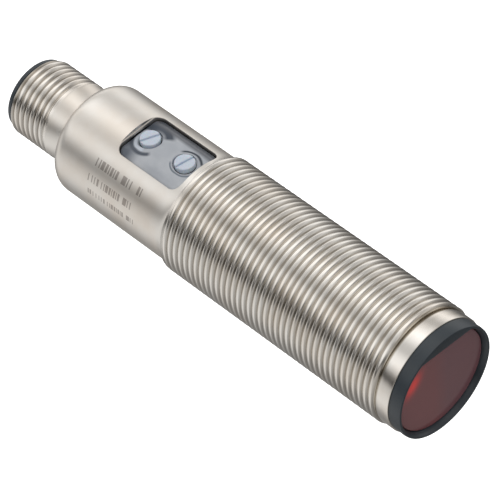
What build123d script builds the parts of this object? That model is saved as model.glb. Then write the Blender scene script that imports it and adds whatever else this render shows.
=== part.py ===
"""Cylindrical retroreflective photoelectric sensor with an M18 x 1 threaded housing.

Row frame in millimetres: +X is the optical axis and points out of the lens end, +Z points out
of the adjuster window, and the origin is on the axis at the middle of the M18 thread.
"""
import os
from math import atan2, cos, radians, sin, sqrt

from build123d import *

os.makedirs("parts", exist_ok=True)

# ---------------------------------------------------------------- driving dimensions
# M18 x 1 mounting thread and M12 x 1 connector thread
pitch = 1.0
thread_depth = 0.61
crest_flat = 0.18
root_flat = 0.22
m18_crest_r = 8.95
m18_turns = 39
m12_crest_r = 5.92
m12_turns = 7

# Housing, from the connector end to the lens end
m18_half = m18_turns * pitch / 2
collar_end = 22.35
collar_chamfer = 0.1
collar_r = 8.65
runout_width = 0.5
body_r = 8.4
step_width = 0.55
shoulder_x = -42.1
shoulder_r = 2.3
shoulder_mid_angle = 50
neck_r = 5.8
connector_end = -53.0
lead_in = 0.3
main_bore_r = 7.4
main_bore_start = -40.2
front_bore_r = 7.7
front_bore_start = 12.0
connector_bore_r = 4.75
connector_bore_end = -43.2
cable_bore_r = 4.0

# Adjuster window in the rear body
window_x = -26.05
window_length = 11.5
window_width = 8.5
window_corner = 1.2
insert_r = 7.0
insert_inner_r = 5.9
insert_lip = 0.75
pad_gap = 0.1
pad_top_r = 7.85
gasket_top_r = 7.38

# Adjusters: a slotted spindle over each trimmer on the main board
adjuster_half_spacing = 3.35
well_r = 1.55
well_floor = 6.6
well_step = 7.25
well_mouth_r = 1.75
head_r = 1.45
head_bottom = 7.2
head_top = 8.05
head_chamfer = 0.12
slot_width = 0.42
slot_depth = 0.35
shaft_r = 1.0
shaft_bore_r = 1.05
seal_section_r = 0.24
rotor_top = 1.6
rotor_bottom = 0.2
rotor_r = 1.45
rotor_bore_r = 1.5
rotor_floor_gap = 0.05
end_play = 0.02
blade_depth = 0.45
blade_width = 0.46
blade_length = 1.9
drive_slot_width = 0.5
drive_slot_depth = 0.5
sensitivity_slot_angle = 66
mode_slot_angle = 79

# Main board, lying below the adjusters
board_top = -1.5
board_thickness = 1.0
board_start = -39.5
board_end = 10.2
board_width = 13.0
board_corner = 0.6
pot_side = 4.2
pot_top = 1.0
pot_corner = 0.3
saddle_length = 2.2
saddle_gap = 0.03
rear_saddle_inset = 0.8
front_saddle_inset = 3.6

# Components on the main board: place along it, then length, width and height
controller = (-6.0, 7.0, 7.0, 1.0)
regulator = (-15.0, 4.9, 3.9, 1.5)
transistor = (2.9, 1.6, 1.1)
transistor_x = -34.4
transistor_spacing = 4.4
capacitor = (2.0, 1.25, 1.2)
capacitor_x = (-12.0, 1.0, 4.5)
capacitor_y = 4.6
resistor = (1.6, 0.8, 0.45)
resistor_x = (-18.8, -1.0)
resistor_y = (3.4, 5.2)
resistor_corner = 0.05
indicator_base = (1.6, 0.8, 0.4)
indicator_dome = (1.1, 0.8, 0.4)
indicator_y = 1.3

# Lens end
ring_end = 24.3
ring_rear_r = 8.48
ring_front_r = 8.42
ring_chamfer = 0.1
rim_r = 8.1
glass_r = 7.75
glass_front = 23.5
glass_back = 22.4
chord_distance = 6.7
chord_turn = -5
spigot_r = 7.65
spigot_bore_r = 7.0
spigot_start = 12.5
glass_gap = 0.03
glass_edge_r = 0.12
front_seal_x = 18.5
seal_groove_half = 0.35
small_seal_r = 0.2
carrier_r = 6.95
carrier_start = 11.4
carrier_end = 20.6
channel_offset = 3.45
channel_r = 2.9
lens_r = 3.2
lens_seat_r = 3.22
lens_seat = 18.2
foil_thickness = 0.2
lens_edge = 1.1
lens_rise = 0.8
optics_board_x = 10.2
optics_board_r = 7.0
barrier_thickness = 0.5
barrier_gap = 0.04
barrier_margin = 0.5
barrier_end = 14.2
led_base = (2.0, 1.6, 0.7)
led_dome_r = 0.65
led_dome_height = 0.6
diode_base = (2.6, 3.2, 0.9)
diode_cap_r = 0.9
diode_cap_height = 0.25
header_pins = 4
header_pitch = 1.0
header_pin_r = 0.22
header_length = 2.4
header_height = 2.0
header_pin_proud = 0.6

# M12 connector insert with four contact pins
insert_rim_end = -53.6
insert_rim_r = 5.5
insert_rim_chamfer = 0.1
insert_mouth_chamfer = 0.2
insert_body_r = 4.72
cavity_r = 4.3
cavity_floor = -45.7
key_width = 1.1
key_height = 0.6
key_root = 0.2
key_start = -53.0
rear_seal_x = -44.5
pin_r = 0.5
pin_root_r = 0.7
pin_tail_r = 0.3
pin_tip = -52.4
pin_tail = -41.8
pin_circle_r = 2.6
pin_angles = (45, 135, 225, 315)
pin_tip_chamfer = 0.22
potting_end = -42.2
lead_r = 0.3
lead_landing = -36.6
lead_rise = 0.6
lead_arch = 0.3
lead_clearance = 0.02
upper_lead_spread = 1.3
lower_lead_spread = 2.2


# ---------------------------------------------------------------- shared shapes
def ring_grooves(first_x, crest_r):
    """One turn of thread profile as ring points: crest, flank, root and flank."""
    root_r = crest_r - thread_depth
    flank = (pitch - crest_flat - root_flat) / 2
    return [
        (first_x + crest_flat / 2, crest_r),
        (first_x + crest_flat / 2 + flank, root_r),
        (first_x + crest_flat / 2 + flank + root_flat, root_r),
        (first_x + pitch - crest_flat / 2, crest_r),
    ]


def turned(points):
    """Solid of revolution about the optical axis from (x, radius) points."""
    with BuildPart() as body:
        with BuildSketch(Plane.XZ):
            with BuildLine():
                Polyline(*points, close=True)
            make_face()
        revolve(axis=Axis.X)
    return body.part


def disc(radius, start, end, y=0.0, z=0.0):
    """Cylinder along X."""
    with BuildPart() as body:
        with BuildSketch(Plane.YZ.offset(start)):
            with Locations((y, z)):
                Circle(radius)
        extrude(amount=end - start)
    return body.part


def seal(x, section_r, inner_r):
    """O-ring around the optical axis."""
    with BuildPart() as body:
        with BuildSketch(Plane.XZ):
            with Locations((x, inner_r + section_r)):
                Circle(section_r)
        revolve(axis=Axis.X)
    return body.part


def chip(x, y, length, width, height, corner=0.12):
    """Rectangular component body standing on the main board."""
    with BuildPart() as body:
        with BuildSketch(Plane.XY.offset(board_top)):
            with Locations((x, y)):
                Rectangle(length, width)
        extrude(amount=height)
        chamfer(body.faces().sort_by(Axis.Z)[-1].edges(), length=corner)
    return body.part


def save(part, name):
    """Label a finished piece and write its STEP file."""
    part.label = name
    export_step(part, f"parts/{name}.step")


adjusters = {
    "sensitivity": (window_x - adjuster_half_spacing, sensitivity_slot_angle),
    "mode": (window_x + adjuster_half_spacing, mode_slot_angle),
}

# ---------------------------------------------------------------- housing
# One turned brass body: connector neck, shoulder, plain rear body, M18 thread and collar.
m12_start = connector_end + lead_in + crest_flat / 2
shoulder_centre = (shoulder_x + shoulder_r, body_r - shoulder_r)
shoulder_foot = shoulder_centre[0] - sqrt(shoulder_r**2 - (neck_r - shoulder_centre[1]) ** 2)
shoulder_mid = (
    shoulder_centre[0] - shoulder_r * cos(radians(shoulder_mid_angle)),
    shoulder_centre[1] + shoulder_r * sin(radians(shoulder_mid_angle)),
)
m12_profile = [
    point for turn in range(m12_turns) for point in ring_grooves(m12_start + turn * pitch, m12_crest_r)
]
m18_profile = [
    point for turn in range(m18_turns) for point in ring_grooves(-m18_half + turn * pitch, m18_crest_r)
]
runout_x = m18_half + crest_flat / 2
runout_end = runout_x + thread_depth / 2 + runout_width
with BuildPart() as housing:
    with BuildSketch(Plane.XZ):
        with BuildLine():
            Polyline(
                (connector_end, connector_bore_r),
                (connector_end, m12_crest_r - lead_in),
                (m12_start - crest_flat / 2, m12_crest_r),
                *m12_profile,
                (m12_start + m12_turns * pitch, m12_crest_r),
                (m12_start + m12_turns * pitch + m12_crest_r - neck_r, neck_r),
                (shoulder_foot, neck_r),
            )
            ThreePointArc((shoulder_foot, neck_r), shoulder_mid, (shoulder_centre[0], body_r))
            Polyline(
                (shoulder_centre[0], body_r),
                (-m18_half - crest_flat / 2 - step_width, body_r),
                (-m18_half - crest_flat / 2, m18_crest_r),
                *m18_profile,
                (runout_x, m18_crest_r),
                (runout_x + thread_depth / 2, m18_crest_r - thread_depth),
                (runout_end, m18_crest_r - thread_depth),
                (runout_end, collar_r - collar_chamfer),
                (runout_end + collar_chamfer, collar_r),
                (collar_end - collar_chamfer, collar_r),
                (collar_end, collar_r - collar_chamfer),
                (collar_end, front_bore_r),
                (front_bore_start, front_bore_r),
                (front_bore_start, main_bore_r),
                (main_bore_start, main_bore_r),
                (main_bore_start, cable_bore_r),
                (connector_bore_end, cable_bore_r),
                (connector_bore_end, connector_bore_r),
                (connector_end, connector_bore_r),
            )
        make_face()
    revolve(axis=Axis.X)
    with BuildSketch(Plane.XY.offset(neck_r / 2)):
        with Locations((window_x, 0)):
            RectangleRounded(window_length, window_width, window_corner)
    extrude(amount=body_r, mode=Mode.SUBTRACT)
save(housing.part, "housing")

# ---------------------------------------------------------------- lens end
# Black front ring: stepped rim, D-shaped seat for the red window and a spigot that plugs into
# the housing, with one groove for its seal.
seal_groove_r = front_bore_r - 2 * small_seal_r
ring_blank = turned(
    [
        (spigot_start, spigot_bore_r),
        (spigot_start, spigot_r),
        (front_seal_x - seal_groove_half, spigot_r),
        (front_seal_x - seal_groove_half, seal_groove_r),
        (front_seal_x + seal_groove_half, seal_groove_r),
        (front_seal_x + seal_groove_half, spigot_r),
        (collar_end, spigot_r),
        (collar_end, ring_rear_r),
        (ring_end - ring_chamfer, ring_front_r),
        (ring_end, ring_front_r - ring_chamfer),
        (ring_end, 0),
        (glass_back, 0),
        (glass_back, spigot_bore_r),
    ]
)
chord_plane = Plane(origin=(0, 0, 0), x_dir=(0, 1, 0), z_dir=(1, 0, 0)).rotated((chord_turn, 0, 0))
with BuildPart() as front_ring:
    add(ring_blank)
    with BuildSketch(chord_plane.offset(glass_back)):
        Circle(glass_r)
        with Locations((0, chord_distance)):
            Rectangle(2 * glass_r, glass_r, align=(Align.CENTER, Align.MIN), mode=Mode.SUBTRACT)
    extrude(amount=glass_front - glass_back, mode=Mode.SUBTRACT)
    with BuildSketch(chord_plane.offset(glass_front)) as rim_foot:
        Circle(glass_r)
        with Locations((0, chord_distance)):
            Rectangle(2 * glass_r, glass_r, align=(Align.CENTER, Align.MIN), mode=Mode.SUBTRACT)
    with BuildSketch(chord_plane.offset(ring_end)) as rim_mouth:
        Circle(rim_r)
        with Locations((0, chord_distance)):
            Rectangle(2 * rim_r, rim_r, align=(Align.CENTER, Align.MIN), mode=Mode.SUBTRACT)
    loft(sections=[rim_foot.sketch, rim_mouth.sketch], ruled=True, mode=Mode.SUBTRACT)
save(front_ring.part, "front_ring")

# Red filter window, a D-shaped plate lying in the ring's seat.
with BuildPart() as front_window:
    with BuildSketch(chord_plane.offset(glass_back)):
        Circle(glass_r - glass_gap)
        with Locations((0, chord_distance - glass_gap)):
            Rectangle(2 * glass_r, glass_r, align=(Align.CENTER, Align.MIN), mode=Mode.SUBTRACT)
    extrude(amount=glass_front - glass_back)
    fillet(front_window.faces().sort_by(Axis.X)[-1].edges(), radius=glass_edge_r)
save(front_window.part, "front_window")

save(seal(front_seal_x, small_seal_r, seal_groove_r), "front_o_ring")

# Optics carrier: black block with two light channels, a lens seat at the front of each, and
# a slot at the back for the light barrier.
with BuildPart() as optics_carrier:
    with BuildSketch(Plane.YZ.offset(carrier_start)):
        Circle(carrier_r)
        with Locations((-channel_offset, 0), (channel_offset, 0)):
            Circle(channel_r, mode=Mode.SUBTRACT)
    extrude(amount=carrier_end - carrier_start)
    with BuildSketch(Plane.YZ.offset(lens_seat)):
        with Locations((-channel_offset, 0), (channel_offset, 0)):
            Circle(lens_seat_r)
    extrude(amount=carrier_end - lens_seat, mode=Mode.SUBTRACT)
    with BuildSketch(Plane.YZ.offset(carrier_start)):
        Rectangle(barrier_thickness, 2 * carrier_r)
    extrude(amount=barrier_end - carrier_start, mode=Mode.SUBTRACT)
save(optics_carrier.part, "optics_carrier")

with BuildPart() as light_barrier:
    with BuildSketch(Plane.YZ.offset(carrier_start)):
        Rectangle(barrier_thickness - barrier_gap, 2 * (carrier_r - barrier_margin))
    extrude(amount=barrier_end - carrier_start - barrier_gap)
save(light_barrier.part, "light_barrier")

# Plano-convex lens with a polarising foil behind it, one pair in each channel.
lens_back = lens_seat + foil_thickness
lens_rim = lens_back + lens_edge
dome_r = (lens_r**2 + lens_rise**2) / (2 * lens_rise)
dome_centre = lens_rim + lens_rise - dome_r
dome_half_angle = atan2(lens_r, lens_rim - dome_centre) / 2
dome_mid = (dome_centre + dome_r * cos(dome_half_angle), dome_r * sin(dome_half_angle))
for side, y in (("emitter", -channel_offset), ("receiver", channel_offset)):
    optical_plane = Plane(origin=(0, y, 0), x_dir=(1, 0, 0), z_dir=(0, -1, 0))
    with BuildPart() as lens:
        with BuildSketch(optical_plane):
            with BuildLine():
                Polyline((lens_rim + lens_rise, 0), (lens_back, 0), (lens_back, lens_r), (lens_rim, lens_r))
                ThreePointArc((lens_rim, lens_r), dome_mid, (lens_rim + lens_rise, 0))
            make_face()
        revolve(axis=Axis((0, y, 0), (1, 0, 0)))
    save(lens.part, f"{side}_lens")
    save(disc(lens_r, lens_seat, lens_back, y), f"{side}_polariser")

# Round optics board with the emitter LED and the receiver diode facing the two channels.
header_y = [header_pitch * (i - (header_pins - 1) / 2) for i in range(header_pins)]
header_z = board_top + header_height / 2
with BuildPart() as optics_board:
    with BuildSketch(Plane.YZ.offset(optics_board_x)):
        Circle(optics_board_r)
        with Locations(*[(y, header_z) for y in header_y]):
            Circle(header_pin_r, mode=Mode.SUBTRACT)
    extrude(amount=board_thickness)
save(optics_board.part, "optics_board")

optics_face = optics_board_x + board_thickness
with BuildPart() as emitter_led:
    with BuildSketch(Plane.YZ.offset(optics_face)):
        with Locations((-channel_offset, 0)):
            Rectangle(led_base[0], led_base[1])
    extrude(amount=led_base[2])
    with BuildSketch(Plane.YZ.offset(optics_face + led_base[2])):
        with Locations((-channel_offset, 0)):
            Circle(led_dome_r)
    extrude(amount=led_dome_height)
    fillet(emitter_led.faces().sort_by(Axis.X)[-1].edges(), radius=0.8 * led_dome_height)
save(emitter_led.part, "emitter_led")

with BuildPart() as receiver_diode:
    with BuildSketch(Plane.YZ.offset(optics_face)):
        with Locations((channel_offset, 0)):
            Rectangle(diode_base[0], diode_base[1])
    extrude(amount=diode_base[2])
    with BuildSketch(Plane.YZ.offset(optics_face + diode_base[2])):
        with Locations((channel_offset, 0)):
            Circle(diode_cap_r)
    extrude(amount=diode_cap_height)
save(receiver_diode.part, "receiver_diode")

# ---------------------------------------------------------------- main board
# The board lies along the tube below the adjusters and carries every component on its top face.
with BuildPart() as main_board:
    with BuildSketch(Plane.XY.offset(board_top - board_thickness)):
        with Locations(((board_start + board_end) / 2, 0)):
            RectangleRounded(board_end - board_start, board_width, board_corner)
    extrude(amount=board_thickness)
save(main_board.part, "main_board")

with BuildPart() as header_block:
    with BuildSketch(Plane.YZ.offset(optics_board_x - header_length)):
        with Locations((0, header_z)):
            Rectangle((header_pins + 0.6) * header_pitch, header_height)
        with Locations(*[(y, header_z) for y in header_y]):
            Circle(header_pin_r, mode=Mode.SUBTRACT)
    extrude(amount=header_length)
save(header_block.part, "header_block")

with BuildPart() as header_contacts:
    with BuildSketch(Plane.YZ.offset(optics_board_x - header_length - header_pin_proud)):
        with Locations(*[(y, header_z) for y in header_y]):
            Circle(header_pin_r)
    extrude(amount=header_length + board_thickness + 1.2 * header_pin_proud)
save(header_contacts.part, "header_pins")

save(chip(controller[0], 0, *controller[1:]), "controller_chip")
save(chip(regulator[0], 0, *regulator[1:]), "regulator_chip")

transistors = [chip(transistor_x, row * transistor_spacing, *transistor) for row in (-1, 0, 1)]
capacitors = [chip(x, side * capacitor_y, *capacitor) for x in capacitor_x for side in (-1, 1)]
resistors = [
    chip(x, side * y, *resistor, corner=resistor_corner)
    for x in resistor_x
    for y in resistor_y
    for side in (-1, 1)
]
save(Compound(transistors), "output_transistors")
save(Compound(capacitors), "capacitors")
save(Compound(resistors), "resistors")

# Two saddles fill the space between the board and the tube, and hold the board in place.
for place, x in (("rear", board_start + rear_saddle_inset), ("front", board_end - front_saddle_inset)):
    with BuildPart() as saddle:
        with BuildSketch(Plane.YZ.offset(x)):
            Circle(main_bore_r - saddle_gap)
            with Locations((0, board_top - board_thickness)):
                Rectangle(
                    2 * main_bore_r, main_bore_r, align=(Align.CENTER, Align.MAX), mode=Mode.INTERSECT
                )
        extrude(amount=saddle_length)
    save(saddle.part, f"board_saddle_{place}")

# Status LEDs shine up through the translucent insert from between the two adjusters.
for colour, y in (("green", -indicator_y), ("yellow", indicator_y)):
    with BuildPart() as indicator:
        add(chip(window_x, y, *indicator_base, corner=resistor_corner))
        with BuildSketch(Plane.XY.offset(board_top + indicator_base[2])):
            with Locations((window_x, y)):
                Rectangle(indicator_dome[0], indicator_dome[1])
        extrude(amount=indicator_dome[2])
    save(indicator.part, f"{colour}_indicator")

# ---------------------------------------------------------------- adjuster window
# Translucent insert: a curved plate that bears on the inside of the tube round the cut-out
# through a gasket, a raised pad that fills the cut-out, and a stepped well for each adjuster.
def curved_block(length, width, corner, inner_r, outer_r):
    """Rounded plan shape over the window, kept between two cylinders about the axis."""
    with BuildPart() as block:
        with BuildSketch(Plane.XY.offset(inner_r / 2)):
            with Locations((window_x, 0)):
                RectangleRounded(length, width, corner)
        extrude(amount=body_r)
        add(disc(outer_r, window_x - length, window_x + length), mode=Mode.INTERSECT)
        add(disc(inner_r, window_x - length, window_x + length), mode=Mode.SUBTRACT)
    return block.part


insert_length = window_length + 2 * insert_lip
insert_width = window_width + 2 * insert_lip
insert_corner = window_corner + insert_lip
pad_length = window_length - 2 * pad_gap
pad_width = window_width - 2 * pad_gap
adjuster_spots = [(x, 0) for x, _ in adjusters.values()]
with BuildPart() as adjuster_insert:
    add(curved_block(insert_length, insert_width, insert_corner, insert_inner_r, insert_r))
    add(curved_block(pad_length, pad_width, window_corner - pad_gap, insert_inner_r, pad_top_r))
    for level, radius in ((well_floor, well_r), (well_step, well_mouth_r)):
        with BuildSketch(Plane.XY.offset(level)):
            with Locations(*adjuster_spots):
                Circle(radius)
        extrude(amount=body_r - level, mode=Mode.SUBTRACT)
    with BuildSketch(Plane.XY.offset(insert_inner_r / 2)):
        with Locations(*adjuster_spots):
            Circle(shaft_bore_r)
    extrude(amount=body_r, mode=Mode.SUBTRACT)
save(adjuster_insert.part, "adjuster_insert")

with BuildPart() as insert_gasket:
    add(curved_block(insert_length, insert_width, insert_corner, insert_r, gasket_top_r))
    with BuildSketch(Plane.XY.offset(insert_inner_r / 2)):
        with Locations((window_x, 0)):
            RectangleRounded(window_length, window_width, window_corner)
    extrude(amount=body_r, mode=Mode.SUBTRACT)
save(insert_gasket.part, "insert_gasket")

# Each adjuster: trimmer body on the board, rotor in it, and a slotted spindle with its seal.
for use, (x, slot_angle) in adjusters.items():
    slot_direction = (cos(radians(slot_angle)), sin(radians(slot_angle)), 0)
    slot_plane = Plane(origin=(x, 0, head_top), x_dir=slot_direction)
    drive_plane = Plane(origin=(x, 0, rotor_top), x_dir=slot_direction)
    with BuildPart() as spindle:
        with BuildSketch(Plane.XY.offset(head_bottom)):
            with Locations((x, 0)):
                Circle(head_r)
        extrude(amount=head_top - head_bottom)
        chamfer(spindle.faces().sort_by(Axis.Z)[-1].edges(), length=head_chamfer)
        with BuildSketch(Plane.XY.offset(rotor_top + end_play)):
            with Locations((x, 0)):
                Circle(shaft_r)
        extrude(amount=head_bottom - rotor_top - end_play)
        with BuildSketch(slot_plane):
            Rectangle(3 * head_r, slot_width)
        extrude(amount=-slot_depth, mode=Mode.SUBTRACT)
        with BuildSketch(drive_plane.offset(-blade_depth)):
            Rectangle(blade_length, blade_width)
        extrude(amount=blade_depth + 2 * end_play)
    save(spindle.part, f"{use}_spindle")

    with BuildPart() as spindle_seal:
        with BuildSketch(Plane(origin=(x, 0, 0), x_dir=(1, 0, 0), z_dir=(0, -1, 0))):
            with Locations((shaft_r + seal_section_r, (well_floor + head_bottom) / 2)):
                Circle(seal_section_r)
        revolve(axis=Axis((x, 0, 0), (0, 0, 1)))
    save(spindle_seal.part, f"{use}_o_ring")

    with BuildPart() as rotor:
        with BuildSketch(Plane.XY.offset(rotor_bottom)):
            with Locations((x, 0)):
                Circle(rotor_r)
        extrude(amount=rotor_top - rotor_bottom)
        with BuildSketch(drive_plane):
            Rectangle(3 * rotor_r, drive_slot_width)
        extrude(amount=-drive_slot_depth, mode=Mode.SUBTRACT)
    save(rotor.part, f"{use}_rotor")

    with BuildPart() as trimmer:
        with BuildSketch(Plane.XY.offset(board_top)):
            with Locations((x, 0)):
                Rectangle(pot_side, pot_side)
        extrude(amount=pot_top - board_top)
        chamfer(trimmer.edges().filter_by(Axis.Z), length=pot_corner)
        with BuildSketch(Plane.XY.offset(rotor_bottom - rotor_floor_gap)):
            with Locations((x, 0)):
                Circle(rotor_bore_r)
        extrude(amount=pot_top, mode=Mode.SUBTRACT)
    save(trimmer.part, f"{use}_trimmer")

# ---------------------------------------------------------------- connector end
# Black connector insert: a cup with a rim outside the threaded neck, a coding key inside and
# four contact pins standing in its floor.
rear_seal_groove_r = connector_bore_r - 2 * small_seal_r
pins = [(pin_circle_r * cos(radians(a)), pin_circle_r * sin(radians(a))) for a in pin_angles]
insert_blank = turned(
    [
        (insert_rim_end, cavity_r + insert_mouth_chamfer),
        (insert_rim_end, insert_rim_r - insert_rim_chamfer),
        (insert_rim_end + insert_rim_chamfer, insert_rim_r),
        (connector_end, insert_rim_r),
        (connector_end, insert_body_r),
        (rear_seal_x - seal_groove_half, insert_body_r),
        (rear_seal_x - seal_groove_half, rear_seal_groove_r),
        (rear_seal_x + seal_groove_half, rear_seal_groove_r),
        (rear_seal_x + seal_groove_half, insert_body_r),
        (connector_bore_end, insert_body_r),
        (connector_bore_end, 0),
        (cavity_floor, 0),
        (cavity_floor, cavity_r),
        (insert_rim_end + insert_mouth_chamfer, cavity_r),
    ]
)
with BuildPart() as connector_insert:
    add(insert_blank)
    with BuildSketch(Plane.YZ.offset(cavity_floor)):
        with Locations((0, cavity_r + key_root)):
            Rectangle(key_width, key_height + key_root, align=(Align.CENTER, Align.MAX))
    extrude(amount=key_start - cavity_floor)
    with BuildSketch(Plane.YZ.offset(cavity_floor)):
        with Locations(*pins):
            Circle(pin_root_r)
    extrude(amount=connector_bore_end - cavity_floor, mode=Mode.SUBTRACT)
save(connector_insert.part, "connector_insert")

save(seal(rear_seal_x, small_seal_r, rear_seal_groove_r), "connector_o_ring")

# Potting behind the insert, round the contact tails.
with BuildPart() as rear_potting:
    with BuildSketch(Plane.YZ.offset(connector_bore_end)):
        Circle(cable_bore_r)
        with Locations(*pins):
            Circle(pin_tail_r, mode=Mode.SUBTRACT)
    extrude(amount=potting_end - connector_bore_end)
save(rear_potting.part, "rear_potting")

# Contact pins with chamfered tips and thicker roots in the cup's floor, and one insulated lead
# from each tail to the main board.
for number, (y, z) in enumerate(pins, start=1):
    with BuildPart() as contact:
        add(disc(pin_r, pin_tip, cavity_floor, y, z))
        add(disc(pin_root_r, cavity_floor, connector_bore_end, y, z))
        add(disc(pin_tail_r, connector_bore_end, pin_tail, y, z))
        chamfer(contact.faces().sort_by(Axis.X)[0].edges(), length=pin_tip_chamfer)
    save(contact.part, f"contact_pin_{number}")

    landing_y = y * (upper_lead_spread if z > 0 else lower_lead_spread)
    landing_z = board_top + lead_r + lead_clearance
    with BuildPart() as lead:
        with BuildLine():
            route = Spline(
                (pin_tail, y, z),
                (board_start - lead_rise, (y + landing_y) / 2, landing_z + lead_arch + max(z, 0) / 2),
                (lead_landing, landing_y, landing_z),
                tangents=[(1, 0, 0), (1, 0, 0)],
            )
        with BuildSketch(Plane(origin=(pin_tail, y, z), z_dir=(1, 0, 0))):
            Circle(lead_r)
        sweep()
    save(lead.part, f"lead_{number}")
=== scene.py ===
from math import cos, pi, radians, sin, sqrt

import bmesh
import bpy
from mathutils import Matrix, Vector


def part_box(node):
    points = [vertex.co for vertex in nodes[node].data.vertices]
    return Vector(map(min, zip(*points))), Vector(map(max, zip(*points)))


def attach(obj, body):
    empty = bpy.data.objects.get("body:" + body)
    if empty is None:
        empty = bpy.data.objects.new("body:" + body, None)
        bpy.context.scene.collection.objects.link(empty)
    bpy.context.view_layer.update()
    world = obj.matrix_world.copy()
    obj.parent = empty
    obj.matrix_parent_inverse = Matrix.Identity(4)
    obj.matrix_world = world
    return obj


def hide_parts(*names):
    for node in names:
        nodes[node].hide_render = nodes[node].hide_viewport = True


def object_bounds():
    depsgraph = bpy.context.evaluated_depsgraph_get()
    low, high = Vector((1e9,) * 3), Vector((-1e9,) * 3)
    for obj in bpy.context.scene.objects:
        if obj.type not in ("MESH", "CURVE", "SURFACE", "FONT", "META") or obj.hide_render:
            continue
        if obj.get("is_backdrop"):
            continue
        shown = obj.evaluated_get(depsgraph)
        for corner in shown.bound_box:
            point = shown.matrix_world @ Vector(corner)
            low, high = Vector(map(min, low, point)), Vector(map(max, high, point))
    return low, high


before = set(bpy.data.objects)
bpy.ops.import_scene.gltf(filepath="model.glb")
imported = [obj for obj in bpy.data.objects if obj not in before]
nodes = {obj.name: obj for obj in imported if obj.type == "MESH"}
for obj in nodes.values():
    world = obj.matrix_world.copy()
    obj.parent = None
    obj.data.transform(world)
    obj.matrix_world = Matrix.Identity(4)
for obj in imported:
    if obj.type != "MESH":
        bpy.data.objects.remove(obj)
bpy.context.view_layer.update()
mm = 0.001

# ------------------------------------------------------------------ housing
# The body is one brass bar turned on a lathe, threaded M18 x 1 and M12 x 1, milled through for
# the adjuster window, nickel plated all over and marked by laser. Everything else is held in it.
housing_low, housing_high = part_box("housing")
gasket_low, gasket_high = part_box("insert_gasket")
pitch = 1.0
crest_r = housing_high.y / mm
# The visible groove is shallower than the full 0.61 mm of a thread of this pitch.
thread_depth = 0.42
root_r = crest_r - thread_depth
body_r = crest_r - 0.55
collar_r = crest_r - 0.3
bore_r = body_r - 1.0
front_bore_r = body_r - 0.7
undercut_r = crest_r - 0.5
bore_step = 12.0
bore_back = -40.2
cable_bore_end = -43.2
bore_rings_from, bore_rings_to = -18.0, -34.5
collar_rings = (20.9, 21.4)
neck_r = 5.82
neck_bore_r = 4.0
cup_bore_r = 4.75
m12_crest_r = 5.95
back_x = housing_low.x / mm
front_x = housing_high.x / mm
m18_start = -19.62
m18_end = 19.94
m18_phase = 0.94
m12_start = back_x + 0.02
m12_end = -45.4
m12_fade = 1.1
m12_phase = 0.93
shoulder_x = -39.8
shoulder_r = 2.3
columns = 160
# Half of one thread groove, as distance from the middle of the crest and depth below it.
half_groove = ((0.0, 0.0), (0.17, 0.01), (0.23, 0.05), (0.38, 0.36), (0.44, 0.41), (0.5, 0.42))
groove_places = [place for place, _ in half_groove] + [1 - place for place, _ in half_groove[-2:0:-1]]


def groove_depth(along):
    """Depth of the thread at a distance along one pitch, measured from the middle of a crest."""
    place = abs((along + 0.5) % 1.0 - 0.5)
    for (start, high), (end, low) in zip(half_groove, half_groove[1:]):
        if place <= end:
            return high + (low - high) * (place - start) / (end - start)
    return thread_depth


def m18_radius(x, along):
    """Barrel thread, rising out of the plain body over a short chamfer."""
    rising = body_r + 0.05 + (x - m18_start) * 1.2
    return max(min(crest_r - groove_depth(along), rising), root_r)


def m12_radius(x, along):
    """Connector thread, chamfered at its mouth and fading into the neck."""
    fade = min(max((m12_end - x) / m12_fade, 0.0), 1.0)
    return min(m12_crest_r - groove_depth(along) * fade, m12_crest_r - 0.5 + (x - back_x) * 0.9)


def add_quads(faces, lower, upper):
    """Joins two closed rows of vertices with four-sided faces."""
    for i in range(len(lower)):
        k = (i + 1) % len(lower)
        faces.append((lower[i], lower[k], upper[k], upper[i]))


def turned(name, rings, closed=True, around=columns):
    """Body of revolution about X; a ring is (x, radius), or a function that gives it for an angle."""
    verts, faces, rows = [], [], []
    for ring in rings:
        rows.append(list(range(len(verts), len(verts) + around)))
        for j in range(around):
            angle = 2 * pi * j / around
            x, radius = ring(angle) if callable(ring) else ring
            verts.append((x * mm, radius * cos(angle) * mm, radius * sin(angle) * mm))
    for lower, upper in zip(rows, rows[1:] + rows[:1] if closed else rows[1:]):
        add_quads(faces, lower, upper)
    mesh = bpy.data.meshes.new(name)
    mesh.from_pydata(verts, [], faces)
    return mesh


def helix(name, start, end, radius_at, phase):
    """Sleeve of true screw thread about X: its rows of vertices climb one pitch in each turn."""
    first = int(start - 3)
    steps = [first + phase + turn + place for turn in range(int(end - start) + 6) for place in groove_places]
    verts, faces = [], []
    for j in range(columns):
        angle = 2 * pi * j / columns
        for step in steps:
            x = min(max(step + pitch * j / columns, start), end)
            radius = radius_at(x, x - phase - pitch * j / columns)
            verts.append((x * mm, radius * cos(angle) * mm, radius * sin(angle) * mm))
    for j in range(columns):
        here = j * len(steps)
        there = here + len(steps) if j < columns - 1 else len(groove_places)
        for i in range(len(steps) - 1 - len(groove_places)):
            faces.append((here + i, there + i, there + i + 1, here + i + 1))
    mesh = bpy.data.meshes.new(name)
    mesh.from_pydata(verts, [], faces)
    return mesh


def thread_edge(x, radius_at, phase):
    """Ring that meets a helix sleeve at its cut end."""
    return lambda angle: (x, radius_at(x, x - phase - pitch * angle / (2 * pi)))


def arc_rings(centre_x, centre_r, radius, start, end, count):
    """Rings along an arc of a turned profile, angles in degrees from +X towards outward."""
    turns = [radians(start + (end - start) * i / count) for i in range(count + 1)]
    return [(centre_x + radius * cos(turn), centre_r + radius * sin(turn)) for turn in turns]


def even_rings(start, end, radius, step=0.55):
    """Rings along a straight stretch, close enough together to take a cut cleanly."""
    count = max(1, round(abs(end - start) / step))
    return [(start + (end - start) * i / count, radius) for i in range(1, count)]


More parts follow.
